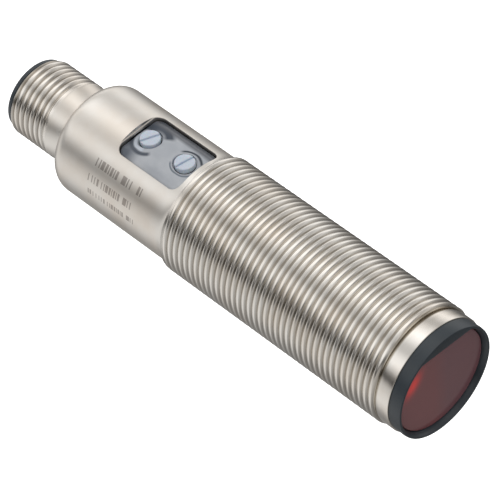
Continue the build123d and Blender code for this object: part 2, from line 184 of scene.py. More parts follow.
def piece_from(name, *meshes):
    """One object from meshes that are welded where they meet, with its normals outward."""
    shape = bmesh.new()
    for mesh in meshes:
        shape.from_mesh(mesh)
        bpy.data.meshes.remove(mesh)
    weld = 0.2e-6
    bmesh.ops.remove_doubles(shape, verts=shape.verts, dist=weld)
    bmesh.ops.dissolve_degenerate(shape, edges=shape.edges, dist=weld)
    bmesh.ops.recalc_face_normals(shape, faces=shape.faces)
    mesh = bpy.data.meshes.new(name)
    shape.to_mesh(mesh)
    shape.free()
    piece = bpy.data.objects.new(name, mesh)
    bpy.context.scene.collection.objects.link(piece)
    return piece


def carve(piece, tool):
    """Cuts one closed piece out of another, and throws the cutting piece away."""
    cut = piece.modifiers.new("cut", "BOOLEAN")
    cut.solver = "MANIFOLD"
    cut.object = tool
    mesh = bpy.data.meshes.new_from_object(piece.evaluated_get(bpy.context.evaluated_depsgraph_get()))
    piece.modifiers.clear()
    mesh.materials.clear()
    blank = piece.data
    piece.data = mesh
    bpy.data.meshes.remove(blank)
    bpy.data.objects.remove(tool)


def smooth(piece, angle=40):
    """Rounds the shading over edges that turn less than the angle, in degrees."""
    piece.data.shade_smooth()
    piece.data.set_sharp_from_angle(angle=radians(angle))


foot_r = 0.45
rear_profile = (
    [(m12_end + 0.25, neck_r), (shoulder_x - shoulder_r - foot_r, neck_r)]
    + arc_rings(shoulder_x - shoulder_r - foot_r, neck_r + foot_r, foot_r, -80, -10, 5)
    + arc_rings(shoulder_x, body_r - shoulder_r, shoulder_r, 168, 90, 14)
    + even_rings(shoulder_x, m18_start, body_r)
)
front_profile = (
    [(m18_end + 0.05, undercut_r), (m18_end + 0.2, undercut_r), (m18_end + 0.24, collar_r - 0.1)]
    + arc_rings(m18_end + 0.36, collar_r - 0.12, 0.12, 170, 90, 3)
    + [(x, collar_r) for x in collar_rings]
    + arc_rings(front_x - 0.12, collar_r - 0.12, 0.12, 90, 10, 3)
    + [(front_x, front_bore_r), (bore_step, front_bore_r), (bore_step, bore_r)]
    + even_rings(bore_rings_from, bore_rings_to, bore_r)
    + [(bore_back, bore_r), (bore_back, neck_bore_r)]
    + [(cable_bore_end, neck_bore_r), (cable_bore_end, cup_bore_r)]
    + [(back_x, cup_bore_r), (back_x, m12_crest_r - 0.6)]
)
housing = piece_from(
    "turned_housing",
    helix("m12_thread", m12_start, m12_end, m12_radius, m12_phase),
    turned("rear", [thread_edge(m12_end, m12_radius, m12_phase), *rear_profile,
                    thread_edge(m18_start, m18_radius, m18_phase)], closed=False),
    helix("m18_thread", m18_start, m18_end, m18_radius, m18_phase),
    turned("front", [thread_edge(m18_end, m18_radius, m18_phase), *front_profile,
                     thread_edge(m12_start, m12_radius, m12_phase)], closed=False),
)

gasket_lip = 0.75
window_x = (gasket_low.x + gasket_high.x) / 2 / mm
window_length = (gasket_high.x - gasket_low.x) / mm - 2 * gasket_lip
window_width = (gasket_high.y - gasket_low.y) / mm - 2 * gasket_lip
window_corner = 1.2


def window_outline(spread, height, per_corner=8):
    """The window's rounded rectangle grown by spread, with its height given for each Y."""
    corner = max(window_corner + spread, 0.0)
    across, along = window_width / 2 + spread - corner, window_length / 2 + spread - corner
    points = []
    for quarter, (sx, sy) in enumerate(((1, 1), (-1, 1), (-1, -1), (1, -1))):
        for i in range(per_corner + 1):
            turn = radians(90 * quarter + 90 * i / per_corner)
            y = sy * max(across, 0.0) + corner * sin(turn)
            points.append((window_x + sx * along + corner * cos(turn), y, height(y)))
    return points


def stacked(name, outlines):
    """Closed block from outlines of equal count, in millimetres, one above another."""
    verts, faces, rows = [], [], []
    for outline in outlines:
        rows.append(list(range(len(verts), len(verts) + len(outline))))
        verts += [(x * mm, y * mm, z * mm) for x, y, z in outline]
    for lower, upper in zip(rows, rows[1:]):
        add_quads(faces, lower, upper)
    faces.append(tuple(reversed(rows[0])))
    faces.append(tuple(rows[-1]))
    mesh = bpy.data.meshes.new(name)
    mesh.from_pydata(verts, [], faces)
    return mesh


def on_tube(radius):
    """Height of a tube's outside above its axis, for each Y."""
    return lambda y: sqrt(radius**2 - y * y)


edge_break = 0.07
cut_top = 10.0
carve(housing, piece_from("window_cutter", stacked("window_cutter", [
    window_outline(0.0, lambda y: 3.0),
    window_outline(0.0, on_tube(body_r - edge_break)),
    window_outline(1.6 * edge_break, on_tube(body_r + 0.6 * edge_break)),
    window_outline(1.6 * edge_break, lambda y: cut_top),
])))
smooth(housing)


def shade(red, green, blue):
    """A colour as seen on screen, 0 to 255, in the linear values a shader takes."""
    seen = [c / 255 for c in (red, green, blue)]
    return (*(c / 12.92 if c <= 0.04 else ((c + 0.055) / 1.055) ** 2.4 for c in seen), 1.0)


def put(tree, kind, **values):
    """A shader node with its properties and its plain input values set."""
    made = tree.nodes.new(kind)
    for key, value in values.items():
        if hasattr(made, key):
            setattr(made, key, value)
        else:
            made.inputs[key.replace("_", " ")].default_value = value
    return made


def sum_of(tree, operation, *terms, clamp=False):
    """A Math node on sockets and plain numbers; returns its output."""
    made = put(tree, "ShaderNodeMath", operation=operation, use_clamp=clamp)
    for place, term in enumerate(terms):
        if isinstance(term, (int, float)):
            made.inputs[place].default_value = term
        else:
            tree.links.new(term, made.inputs[place])
    return made.outputs[0]


def effect(name, inputs, outputs):
    """An empty shader node group with named number sockets, its inputs as a dict of sockets."""
    tree = bpy.data.node_groups.new(name, "ShaderNodeTree")
    for label, start in inputs.items():
        socket = tree.interface.new_socket(label, in_out="INPUT", socket_type="NodeSocketFloat")
        socket.default_value = start
    for label in outputs:
        tree.interface.new_socket(label, in_out="OUTPUT", socket_type="NodeSocketFloat")
    given = tree.nodes.new("NodeGroupInput").outputs
    return tree, given, tree.nodes.new("NodeGroupOutput").inputs


def place_of(tree):
    """The X, Y and Z of a point of the object, with the whole vector."""
    place = put(tree, "ShaderNodeTexCoord").outputs["Object"]
    split = put(tree, "ShaderNodeSeparateXYZ")
    tree.links.new(place, split.inputs[0])
    return (*split.outputs, place)


def turning_marks():
    """Fine rings left by the lathe tool, and a slow change of tone over the plating."""
    tree, given, made = effect("turning_marks", {"Rings per metre": 3000.0}, ["Height", "Tone"])
    x, y, z, place = place_of(tree)
    spot = put(tree, "ShaderNodeCombineXYZ")
    for axis, term, scale in (("X", x, given[0]), ("Y", y, 60.0), ("Z", z, 60.0)):
        tree.links.new(sum_of(tree, "MULTIPLY", term, scale), spot.inputs[axis])
    rings = put(tree, "ShaderNodeTexNoise", Scale=1.0, Detail=3.0, Roughness=0.6)
    slow = put(tree, "ShaderNodeTexNoise", Scale=90.0, Detail=2.0)
    tree.links.new(spot.outputs[0], rings.inputs["Vector"])
    tree.links.new(place, slow.inputs["Vector"])
    tree.links.new(rings.outputs[0], made["Height"])
    tree.links.new(slow.outputs[0], made["Tone"])
    return tree


def groove_dirt_and_shade():
    """A mask that grows from the crest of a thread down to its root, for painted shade in the groove and the
    dirt that settles there.
    """
    tree, given, made = effect("groove_dirt_and_shade", {"Crest": 0.009, "Root": 0.008}, ["Mask"])
    x, y, z, place = place_of(tree)
    squares = sum_of(tree, "ADD", sum_of(tree, "MULTIPLY", y, y), sum_of(tree, "MULTIPLY", z, z))
    reach = sum_of(tree, "SQRT", squares)
    down = put(tree, "ShaderNodeMapRange", To_Min=1.0, To_Max=0.0)
    tree.links.new(reach, down.inputs["Value"])
    tree.links.new(given["Root"], down.inputs["From Min"])
    tree.links.new(given["Crest"], down.inputs["From Max"])
    tree.links.new(down.outputs[0], made["Mask"])
    return tree


def stretch_mask():
    """A soft mask that is one between two places along the bar."""
    tree, given, made = effect("stretch_mask", {"From": -0.04, "To": -0.02, "Blur": 0.0005}, ["Mask"])
    x = place_of(tree)[0]
    rise = sum_of(tree, "DIVIDE", sum_of(tree, "SUBTRACT", x, given["From"]), given["Blur"], clamp=True)
    fall = sum_of(tree, "DIVIDE", sum_of(tree, "SUBTRACT", given["To"], x), given["Blur"], clamp=True)
    tree.links.new(sum_of(tree, "MULTIPLY", rise, fall), made["Mask"])
    return tree


def laser_bars():
    """A row of plain laser-marked bars of uneven width, at an angle round the body in degrees."""
    settings = {"Angle": 140.0, "Half height": 4.0, "From": -0.034, "To": -0.024, "Period": 0.002,
                "Share": 0.7}
    tree, given, made = effect("laser_bars", settings, ["Mask"])
    x, y, z, place = place_of(tree)
    angle = sum_of(tree, "DEGREES", sum_of(tree, "ARCTAN2", z, y))
    off = sum_of(tree, "ABSOLUTE", sum_of(tree, "SUBTRACT", angle, given["Angle"]))
    in_row = sum_of(tree, "LESS_THAN", off, given["Half height"])
    within = sum_of(tree, "MULTIPLY", sum_of(tree, "GREATER_THAN", x, given["From"]),
                    sum_of(tree, "LESS_THAN", x, given["To"]))
    step = sum_of(tree, "FLOOR", sum_of(tree, "DIVIDE", x, given["Period"]))
    lot = put(tree, "ShaderNodeTexWhiteNoise", noise_dimensions="1D")
    tree.links.new(sum_of(tree, "ADD", step, given["Angle"]), lot.inputs["W"])
    bar = sum_of(tree, "LESS_THAN", lot.outputs["Value"], given["Share"])
    tree.links.new(sum_of(tree, "MULTIPLY", sum_of(tree, "MULTIPLY", in_row, within), bar), made["Mask"])
    return tree


def handling():
    """Soft patches, as from fingers: a mask of about the given share of the surface."""
    tree, given, made = effect("handling", {"Scale": 200.0, "Cover": 0.5}, ["Mask"])
    cloud = put(tree, "ShaderNodeTexNoise", Detail=4.0, Roughness=0.55)
    mask = put(tree, "ShaderNodeMapRange")
    low = sum_of(tree, "SUBTRACT", 0.85, given["Cover"])
    tree.links.new(place_of(tree)[3], cloud.inputs["Vector"])
    tree.links.new(given["Scale"], cloud.inputs["Scale"])
    tree.links.new(cloud.outputs[0], mask.inputs["Value"])
    tree.links.new(low, mask.inputs["From Min"])
    tree.links.new(sum_of(tree, "ADD", low, 0.25), mask.inputs["From Max"])
    tree.links.new(mask.outputs[0], made["Mask"])
    return tree


first_effects = (turning_marks(), groove_dirt_and_shade(), stretch_mask(), laser_bars(), handling())
effects = {made.name: made for made in first_effects}


def finish(name, **values):
    """A new material with a Principled shader set to plain values; returns it, its tree and shader."""
    material = bpy.data.materials.new(name)
    material.use_nodes = True
    shader = material.node_tree.nodes["Principled BSDF"]
    for key, value in values.items():
        shader.inputs[key.replace("_", " ")].default_value = value
    return material, material.node_tree, shader


def use(tree, name, **values):
    """Places an effect in a material with its own values; returns its outputs."""
    made = tree.nodes.new("ShaderNodeGroup")
    made.node_tree = effects[name]
    for key, value in values.items():
        made.inputs[key.replace("_", " ")].default_value = value
    return made.outputs


def blend(tree, factor, first, second):
    """A colour between two, by a mask; either may be a plain colour or a socket."""
    made = put(tree, "ShaderNodeMix", data_type="RGBA")
    tree.links.new(factor, made.inputs["Factor"])
    for place, colour in ((6, first), (7, second)):
        if isinstance(colour, tuple):
            made.inputs[place].default_value = colour
        else:
            tree.links.new(colour, made.inputs[place])
    return made.outputs[2]


def between(tree, socket, low, high):
    """A 0 to 1 socket mapped to a range."""
    made = put(tree, "ShaderNodeMapRange", To_Min=low, To_Max=high)
    tree.links.new(socket, made.inputs["Value"])
    return made.outputs[0]


def emboss(tree, shader, height, distance, strength=0.4):
    """A Bump node on a height socket, wired to the shader's normal."""
    made = put(tree, "ShaderNodeBump", Strength=strength, Distance=distance * mm)
    tree.links.new(height, made.inputs["Height"])
    tree.links.new(made.outputs[0], shader.inputs["Normal"])


def nickel():
    """Nickel plate: turned and bright on the threads and collar, satin on the plain body."""
    material, tree, shader = finish("nickel_plate", Metallic=1.0)
    marks = use(tree, "turning_marks", Rings_per_metre=5200.0)
    colour = blend(tree, marks["Tone"], shade(222, 218, 212), shade(238, 235, 230))
    touched = use(tree, "handling", Scale=170.0, Cover=0.45)["Mask"]
    colour = blend(tree, touched, colour, shade(224, 217, 208))
    # Painted shade with some dirt: the barrel thread darkens towards the roots of its grooves.
    dirt_and_shade = use(tree, "groove_dirt_and_shade", Crest=(crest_r - 0.05) * mm, Root=(root_r - 0.1) * mm)["Mask"]
    barrel = use(tree, "stretch_mask", From=(m18_start + 0.4) * mm, To=(m18_end + 0.5) * mm,
                 Blur=0.1 * mm)["Mask"]
    colour = blend(tree, sum_of(tree, "MULTIPLY", dirt_and_shade, barrel), colour, shade(172, 164, 150))
    # Painted shade with some dirt in the connector thread's grooves too.
    m12_dirt_and_shade = use(tree, "groove_dirt_and_shade", Crest=(m12_crest_r - 0.05) * mm,
                   Root=(m12_crest_r - 0.55) * mm)["Mask"]
    m12_part = use(tree, "stretch_mask", From=(back_x - 1) * mm, To=(m12_end - 0.5) * mm,
                   Blur=1.0 * mm)["Mask"]
    colour = blend(tree, sum_of(tree, "MULTIPLY", m12_dirt_and_shade, m12_part), colour, shade(146, 136, 120))
    # Each row of bars: angle, half height, start, end and period.
    rows = ((139, 4.2, -34.2, -24.6, 0.2), (157, 3.8, -34.4, -25.2, 0.17), (172, 2.8, -34.0, -24.8, 0.15))
    for angle, half, start, end, period in rows:
        bars = use(tree, "laser_bars", Angle=angle, Half_height=half, From=start * mm, To=end * mm,
                   Period=period * mm, Share=0.5)["Mask"]
        colour = blend(tree, between(tree, bars, 0.0, 0.55), colour, shade(96, 82, 78))
    tree.links.new(colour, shader.inputs["Base Color"])
    plain = use(tree, "stretch_mask", From=(m12_end - 0.4) * mm, To=(m18_start + 0.4) * mm,
                Blur=0.4 * mm)["Mask"]
    bright = between(tree, marks["Height"], 0.13, 0.22)
    satin = sum_of(tree, "MULTIPLY", plain, 0.17)
    tree.links.new(sum_of(tree, "ADD", bright, satin), shader.inputs["Roughness"])
    emboss(tree, shader, marks["Height"], 0.0025)
    return material


def dress(piece, material, body, slot, *replaced):
    """Gives a piece its material, its body and the CAD nodes it stands for; its slot is not used."""
    piece.data.materials.clear()
    piece.data.materials.append(material)
    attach(piece, body)
    if replaced:
        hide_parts(*replaced)


dress(housing, nickel(), "root", "nickel_brass", "housing")

# ------------------------------------------------------------------ front ring
# The ring is moulded in black glass-filled plastic and pushed into the tube by its spigot, where
# a seal grips it. Its mouth is a circle with one flat side that keys the window.
ring_low, ring_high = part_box("front_ring")
glass_low, glass_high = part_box("front_window")
ring_front = ring_high.x / mm
ring_rear_r = ring_high.y / mm
ring_front_r = ring_rear_r - 0.06
mouth_r = 8.08
glass_r = 7.75
spigot_r = front_bore_r - 0.05
spigot_bore_r = 7.0
glass_back = glass_low.x / mm
glass_front = glass_high.x / mm
flat_reach = 6.7
flat_turn = 90 - 5
seal_x = 18.5
seal_groove_r = front_bore_r - 0.4


def flat_sided(x, radius, reach=flat_reach, crisp=70):
    """Ring with one flat side: a circle cut at a distance from the axis, with soft corners."""
    def at(angle):
        facing = cos(angle - radians(flat_turn))
        if facing <= 0.3:
            return x, radius
        return x, (radius**-crisp + (reach / facing) ** -crisp) ** (-1 / crisp)
    return at


ring_edge = 0.09
front_ring = piece_from("front_ring_moulding", turned("front_ring_moulding", [
    *arc_rings(front_x + 0.08, ring_rear_r - 0.08, 0.08, 180, 90, 3),
    (front_x + 0.7, ring_rear_r - 0.03),
    (front_x + 1.5, ring_front_r + 0.05),
    *arc_rings(ring_front - ring_edge, ring_front_r - ring_edge, ring_edge, 90, 0, 5),
    flat_sided(ring_front, mouth_r + 0.06),
    flat_sided(ring_front - 0.05, mouth_r),
    flat_sided(glass_front + 0.1, glass_r + 0.06),
    flat_sided(glass_front - 0.3, glass_r + 0.03),
    flat_sided(glass_back, glass_r + 0.03),
    flat_sided(glass_back, spigot_bore_r, reach=spigot_bore_r * 2),
    (ring_low.x / mm, spigot_bore_r),
    (ring_low.x / mm, spigot_r - 0.15),
    (ring_low.x / mm + 0.15, spigot_r),
    (seal_x - 0.35, spigot_r),
    (seal_x - 0.35, seal_groove_r),
    (seal_x + 0.35, seal_groove_r),
    (seal_x + 0.35, spigot_r),
    (front_x, spigot_r),
], around=256))
smooth(front_ring, 35)


def grain():
    """Fine texture of a moulded surface, with a slow drift of its tone."""
    tree, given, made = effect("grain", {"Scale": 9000.0}, ["Height", "Tone"])
    place = place_of(tree)[3]
    fine = put(tree, "ShaderNodeTexNoise", Detail=3.0)
    slow = put(tree, "ShaderNodeTexNoise", Scale=260.0, Detail=3.0)
    tree.links.new(place, fine.inputs["Vector"])
    tree.links.new(place, slow.inputs["Vector"])
    tree.links.new(given["Scale"], fine.inputs["Scale"])
    tree.links.new(fine.outputs[0], made["Height"])
    tree.links.new(slow.outputs[0], made["Tone"])
    return tree


effects["grain"] = grain()


def moulded(name, dark, light, low=0.4, high=0.55, height=0.004, scale=9000.0, **values):
    """A moulded or cast finish: two tones that drift, and a fine grain in gloss and height."""
    material, tree, shader = finish(name, **values)
    surface = use(tree, "grain", Scale=scale)
    tree.links.new(blend(tree, surface["Tone"], shade(*dark), shade(*light)), shader.inputs["Base Color"])
    tree.links.new(between(tree, surface["Height"], low, high), shader.inputs["Roughness"])
    emboss(tree, shader, surface["Height"], height)
    return material


black_moulding = moulded("black_moulding", (38, 46, 52), (52, 62, 70), 0.3, 0.42, 0.003)
dress(front_ring, black_moulding, "root", "black_plastic", "front_ring")

# ------------------------------------------------------------------ front window
# The window is a plate of dark red acrylic that passes only the emitter's red light. It is cut to the ring's
# mouth, dropped in from the front and bonded; a painted glow at one edge of it stands for the lit emitter
# behind it.
glass_edge = 0.14
glass_fit = 0.02
window_rings = [flat_sided(glass_back, glass_r - glass_fit, flat_reach - glass_fit),
                flat_sided(glass_front - glass_edge, glass_r - glass_fit, flat_reach - glass_fit)]
for step in range(1, 5):
    turn = radians(90 * step / 4)
    inset = glass_fit + glass_edge * (1 - cos(turn))
    rise = glass_front - glass_edge * (1 - sin(turn))
    window_rings.append(flat_sided(rise, glass_r - inset, flat_reach - inset))
for share in (0.985, 0.8, 0.5, 0.25):
    inset_r = (glass_r - glass_fit - glass_edge) * share
    window_rings.append(flat_sided(glass_front, inset_r, (flat_reach - glass_fit - glass_edge) * share))
window_rings += [(glass_front, 0.0), (glass_back, 0.0)]
front_window = piece_from("red_window", turned("red_window", window_rings, around=256))
smooth(front_window, 35)


def painted_lamp_glow():
    """A soft stretched spot in the plane of the window, for a painted glow as of a lamp behind it."""
    settings = {"Y": 0.0, "Z": 0.0, "Turn": 0.0, "Length": 0.003, "Width": 0.001}
    tree, given, made = effect("painted_lamp_glow", settings, ["Mask"])
    x, y, z, place = place_of(tree)
    dy, dz = sum_of(tree, "SUBTRACT", y, given["Y"]), sum_of(tree, "SUBTRACT", z, given["Z"])
    turn = sum_of(tree, "RADIANS", given["Turn"])
    c, s = sum_of(tree, "COSINE", turn), sum_of(tree, "SINE", turn)
    along = sum_of(tree, "ADD", sum_of(tree, "MULTIPLY", dy, c), sum_of(tree, "MULTIPLY", dz, s))
    across = sum_of(tree, "SUBTRACT", sum_of(tree, "MULTIPLY", dz, c), sum_of(tree, "MULTIPLY", dy, s))
    far = [sum_of(tree, "POWER", sum_of(tree, "DIVIDE", part, given[size]), 2.0)
           for part, size in ((along, "Length"), (across, "Width"))]
    fade = sum_of(tree, "EXPONENT", sum_of(tree, "MULTIPLY", sum_of(tree, "ADD", *far), -1.0))
    tree.links.new(fade, made["Mask"])
    return tree


effects["painted_lamp_glow"] = painted_lamp_glow()


def red_filter():
    """Polished dark red filter, a little greyer over the receiver's half, with a painted red glow at one
    edge.
    """
    material, tree, shader = finish("red_filter", IOR=1.49)
    surface = use(tree, "grain", Scale=900.0)
    side = put(tree, "ShaderNodeMapRange", From_Min=-1.2 * mm, From_Max=1.2 * mm)
    tree.links.new(place_of(tree)[1], side.inputs["Value"])
    colour = blend(tree, side.outputs[0], shade(132, 84, 87), shade(122, 86, 92))
    colour = blend(tree, between(tree, surface["Tone"], 0.0, 0.25), colour, shade(142, 92, 94))
    # Painted glow: a bright red spot near one edge, in the colour and the emission, standing for the lit
    # emitter behind.
    painted_glow = use(tree, "painted_lamp_glow", Y=-5.0 * mm, Z=3.4 * mm, Turn=48.0, Length=1.7 * mm, Width=1.0 * mm)["Mask"]
    colour = blend(tree, between(tree, painted_glow, 0.0, 0.85), colour, shade(205, 70, 66))
    tree.links.new(colour, shader.inputs["Base Color"])
    painted_lit_red = blend(tree, painted_glow, (0.0, 0.0, 0.0, 1.0), shade(150, 24, 22))
    tree.links.new(painted_lit_red, shader.inputs["Emission Color"])
    shader.inputs["Emission Strength"].default_value = 0.6
    tree.links.new(between(tree, surface["Height"], 0.1, 0.16), shader.inputs["Roughness"])
    emboss(tree, shader, surface["Height"], 0.0008, 0.2)
    return material


dress(front_window, red_filter(), "root", "red_filter", "front_window")

# ------------------------------------------------------------------ optics
# Behind the window a black carrier holds a plano-convex lens and a polarising foil in each of its
# two channels, over the emitter and the receiver on a small round board, with a barrier between.


def paint(material, *names):
    """Gives CAD pieces a material."""
    for name in names:
        for place in nodes[name].material_slots:
            place.material = material


carrier_black = moulded("carrier_black", (24, 24, 26), (36, 36, 39), 0.5, 0.65)
paint(carrier_black, "optics_carrier", "light_barrier")
paint(moulded("clear_acrylic", (232, 237, 241), (242, 245, 248), 0.02, 0.06, 0.0005, IOR=1.49,
              Transmission_Weight=1.0), "emitter_lens", "receiver_lens")
paint(moulded("polarising_foil", (58, 60, 68), (72, 74, 82), 0.1, 0.2, 0.001), "emitter_polariser",
      "receiver_polariser")
paint(moulded("emitter_epoxy", (186, 20, 22), (222, 42, 40), 0.1, 0.2, 0.001), "emitter_led")
paint(moulded("receiver_epoxy", (30, 26, 32), (44, 38, 46), 0.12, 0.25, 0.001), "receiver_diode")
seal_rubber = moulded("seal_rubber", (17, 17, 18), (31, 31, 32), 0.45, 0.6, 0.003)
paint(seal_rubber, "front_o_ring")

# ------------------------------------------------------------------ boards
# Glass-epoxy boards with green solder mask. The long one rests on two plastic saddles and carries
# the controller, regulator, output transistors and the small parts; four pins join it to the other.


def solder_mask():
    """Green lacquer with straight copper tracks just showing under it."""
    material, tree, shader = finish("solder_mask")
    surface = use(tree, "grain", Scale=2600.0)
    colour = blend(tree, surface["Tone"], shade(12, 66, 38), shade(22, 92, 54))
    x, y, z, place = place_of(tree)
    track = sum_of(tree, "GREATER_THAN", sum_of(tree, "FRACT", sum_of(tree, "MULTIPLY", y, 900.0)), 0.62)
    raised = use(tree, "handling", Scale=420.0, Cover=0.6)["Mask"]
    tracks = sum_of(tree, "MULTIPLY", track, raised)
    tree.links.new(blend(tree, tracks, colour, shade(58, 128, 74)), shader.inputs["Base Color"])
    tree.links.new(between(tree, surface["Height"], 0.2, 0.34), shader.inputs["Roughness"])
    emboss(tree, shader, tracks, 0.02)
    return material


paint(solder_mask(), "optics_board", "main_board")
paint(carrier_black, "board_saddle_rear", "board_saddle_front")
paint(moulded("header_plastic", (20, 20, 22), (29, 29, 32), 0.4, 0.5), "header_block")
contact_gold = moulded("contact_gold", (222, 182, 96), (238, 205, 128), 0.16, 0.28, 0.001, Metallic=1.0)
paint(contact_gold, "header_pins")
paint(moulded("chip_epoxy", (29, 29, 31), (43, 43, 46), 0.5, 0.62, 0.006), "controller_chip",
      "regulator_chip", "output_transistors")
paint(moulded("capacitor_ceramic", (150, 112, 74), (172, 134, 94), 0.35, 0.5), "capacitors")
paint(moulded("resistor_glaze", (28, 28, 36), (42, 42, 54), 0.2, 0.3), "resistors")
paint(moulded("green_lamp", (62, 190, 84), (88, 218, 108), 0.2, 0.3), "green_indicator")
paint(moulded("yellow_lamp", (222, 188, 52), (242, 212, 76), 0.2, 0.3), "yellow_indicator")

# ------------------------------------------------------------------ adjuster insert
# A translucent blue-grey window, moulded with a raised pad that fills the cut-out nearly flush and
# a stepped well round each adjuster. It is pressed up against its gasket from inside the tube.
insert_r = 7.0
insert_inner_r = 5.9
pad_gap = 0.1
pad_r = 7.85
pad_edge = 0.16
head_r = 1.45
shaft_bore_r = 1.05
well_r = 1.55
well_floor = 6.6
well_step = 7.25
well_mouth_r = 1.75
adjuster_x = {use: (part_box(f"{use}_spindle")[0].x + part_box(f"{use}_spindle")[1].x) / 2 / mm
              for use in ("sensitivity", "mode")}
pad_rows = [window_outline(-pad_gap, on_tube(pad_r - pad_edge))]
for step in range(1, 4):
    turn = radians(30 * step)
    inset = pad_gap + pad_edge * (1 - cos(turn))
    pad_rows.append(window_outline(-inset, on_tube(pad_r - pad_edge * (1 - sin(turn)))))
for share in (0.15, 0.35, 0.55, 0.75, 0.9, 0.999):
    pad_rows.append(window_outline(-share * window_width / 2, on_tube(pad_r)))
under_rows = [window_outline(-share * window_width / 2, on_tube(insert_inner_r))
              for share in (0.999, 0.8, 0.6, 0.4, 0.2, 0.0)]
insert = piece_from("adjuster_insert_moulding", stacked("adjuster_insert_moulding", [
    *under_rows,
    window_outline(gasket_lip, on_tube(insert_inner_r)),
    window_outline(gasket_lip, on_tube(insert_r)),
    window_outline(-pad_gap, on_tube(insert_r)),
    *pad_rows,
]))


def standing(mesh, x, y=0.0):
    """Stands a body of revolution up, so that its axis is along Z at a place on the bar."""
    mesh.transform(Matrix.Translation((x * mm, y * mm, 0)) @ Matrix.Rotation(-pi / 2, 4, "Y"))
    return mesh


for x in adjuster_x.values():
    well = [(4.0, 0.0), (4.0, shaft_bore_r), (well_floor, shaft_bore_r), (well_floor, well_r),
            (well_step, well_r), (well_step, well_mouth_r), (pad_r - 0.12, well_mouth_r),
            (pad_r + 0.1, well_mouth_r + 0.16), (9.0, well_mouth_r + 0.16), (9.0, 0.0)]
    carve(insert, piece_from("well_cutter", standing(turned("well_cutter", well, around=64), x)))
smooth(insert, 35)


def arc_shade_and_mark():
    """Part of a ring round a place in plan, on the side that faces a given angle in degrees."""
    settings = {"X": 0.0, "Y": 0.0, "Radius": 0.002, "Half width": 0.0002, "Facing": 0.0, "Opening": 0.0}
    tree, given, made = effect("arc_shade_and_mark", settings, ["Mask"])
    x, y, z, place = place_of(tree)
    dx, dy = sum_of(tree, "SUBTRACT", x, given["X"]), sum_of(tree, "SUBTRACT", y, given["Y"])
    squares = sum_of(tree, "ADD", sum_of(tree, "MULTIPLY", dx, dx), sum_of(tree, "MULTIPLY", dy, dy))
    reach = sum_of(tree, "SQRT", squares)
    off = sum_of(tree, "DIVIDE", sum_of(tree, "ABSOLUTE", sum_of(tree, "SUBTRACT", reach, given["Radius"])),
                 given["Half width"])
    ring = sum_of(tree, "SUBTRACT", 1.5, off, clamp=True)
    turn = sum_of(tree, "RADIANS", given["Facing"])
    ahead = sum_of(tree, "DIVIDE",
                   sum_of(tree, "ADD", sum_of(tree, "MULTIPLY", dx, sum_of(tree, "COSINE", turn)),
                          sum_of(tree, "MULTIPLY", dy, sum_of(tree, "SINE", turn))), reach)
    side = sum_of(tree, "MULTIPLY", sum_of(tree, "SUBTRACT", ahead, given["Opening"]), 5.0, clamp=True)
    tree.links.new(sum_of(tree, "MULTIPLY", ring, side), made["Mask"])
    return tree


effects["arc_shade_and_mark"] = arc_shade_and_mark()


def translucent_insert():
    """Blue-grey translucent moulding with painted shade towards its rear end, along its far wall and round
    the far adjuster, a painted highlight in that well, and arc marks round the near adjuster.
    """
    material, tree, shader = finish("translucent_insert", IOR=1.5)
    surface = use(tree, "grain", Scale=3000.0)
    cloud = use(tree, "handling", Scale=330.0, Cover=0.5)["Mask"]
    colour = blend(tree, surface["Tone"], shade(176, 181, 188), shade(200, 204, 210))
    colour = blend(tree, between(tree, cloud, 0.0, 0.35), colour, shade(150, 157, 168))
    # Painted shade: darker towards the rear end of the window, standing also for the dark inside seen through
    # the plastic.
    rear = use(tree, "stretch_mask", From=(window_x - 9) * mm, To=(adjuster_x["sensitivity"] + 0.9) * mm,
               Blur=1.9 * mm)["Mask"]
    colour = blend(tree, between(tree, rear, 0.0, 0.85), colour, shade(70, 80, 94))
    near, far = adjuster_x["mode"] * mm, adjuster_x["sensitivity"] * mm
    # The three arcs round the far adjuster are painted shade and a painted highlight in its well; the two
    # round the near adjuster are its arc marks.
    # Each arc: place, radius, half width, facing, opening and colour.
    shade_and_mark_arcs = (
        (far, 2.6, 0.7, 105, 0.3, (62, 71, 84)),
        (far, 2.05, 0.3, 215, 0.2, (196, 204, 216)),
        (far, 2.6, 0.26, 240, 0.2, (62, 72, 86)),
        (near, 2.2, 0.18, 92, 0.5, (56, 64, 74)),
        (near, 2.0, 0.12, -80, 0.3, (112, 122, 134)),
    )
    for x, radius, half, facing, opening, tone in shade_and_mark_arcs:
        shade_and_mark = use(tree, "arc_shade_and_mark", X=x, Radius=radius * mm, Half_width=half * mm, Facing=float(facing),
                   Opening=opening)["Mask"]
        colour = blend(tree, shade_and_mark, colour, shade(*tone))
    # Painted shade: a dark band along the far wall of the cut-out.
    far_wall_shade = put(tree, "ShaderNodeMapRange", From_Min=2.4 * mm, From_Max=3.0 * mm, To_Max=0.9)
    tree.links.new(place_of(tree)[1], far_wall_shade.inputs["Value"])
    colour = blend(tree, far_wall_shade.outputs[0], colour, shade(80, 84, 92))
    tree.links.new(colour, shader.inputs["Base Color"])
    tree.links.new(between(tree, surface["Height"], 0.16, 0.28), shader.inputs["Roughness"])
    emboss(tree, shader, surface["Height"], 0.003)
    return material


dress(insert, translucent_insert(), "root", "insert_plastic", "adjuster_insert")
paint(seal_rubber, "insert_gasket")

